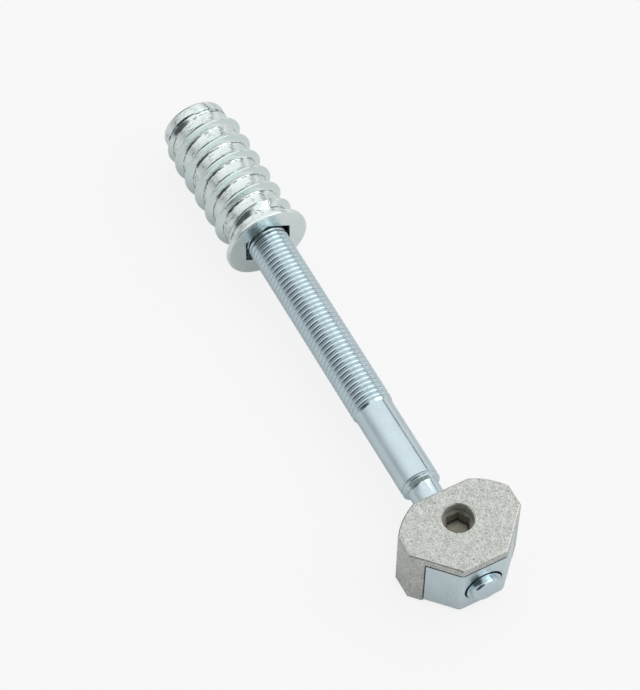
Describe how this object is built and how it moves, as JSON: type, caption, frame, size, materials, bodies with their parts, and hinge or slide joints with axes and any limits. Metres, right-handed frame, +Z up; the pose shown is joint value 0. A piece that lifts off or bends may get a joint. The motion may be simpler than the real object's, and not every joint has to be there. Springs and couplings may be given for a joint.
{
  "type": "worktop joint bolt",
  "caption": "Worktop joint bolt: die-cast bevel-geared head with a hex key socket on top, a long bolt with a button end, and a flanged insert with a coarse wood thread.",
  "frame": {"origin": "where the axis of the hex drive meets the flat base of the head", "axes": "+X along the bolt, from the head to the wood insert; +Z up out of the hex drive; +Y to the left, seen from above with +X ahead"},
  "size_m": [0.1144, 0.022, 0.0164],
  "materials": {
    "zinc_casting": "bare die-cast zinc alloy, light warm grey, finely mottled",
    "plated_sheet": "smooth zinc-plated sheet steel",
    "gear_steel": "bright sintered steel",
    "bolt_steel": "bright bluish zinc plating",
    "insert_steel": "bright whitish zinc plating"
  },
  "bodies": {
    "head": {"head_housing": "zinc_casting", "closing_plate": "plated_sheet"},
    "bolt": {"joint_bolt": "bolt_steel", "bevel_wheel": "gear_steel"},
    "pinion": {"drive_pinion": "gear_steel"},
    "insert": {"wood_insert": "insert_steel"}
  },
  "joints": [
    {"name": "insert_travel", "type": "slide", "parent": "head", "child": "insert", "axis": [1, 0, 0], "range_m": [-0.04, 0.011]},
    {"name": "bolt_spin", "type": "hinge", "parent": "head", "child": "bolt", "pos_m": [0, 0, 0.0066], "axis": [1, 0, 0], "range_deg": [-3961, 14401]},
    {"name": "pinion_spin", "type": "hinge", "parent": "head", "child": "pinion", "pos_m": [0, 0, 0], "axis": [0, 0, 1], "range_deg": [-4321, 15710.1]}
  ],
  "couplings": [
    {"joint": "bolt_spin", "follows": "insert_travel", "rad_per_m": -6283.2},
    {"joint": "pinion_spin", "follows": "insert_travel", "rad_per_m": -6854.4}
  ]
}
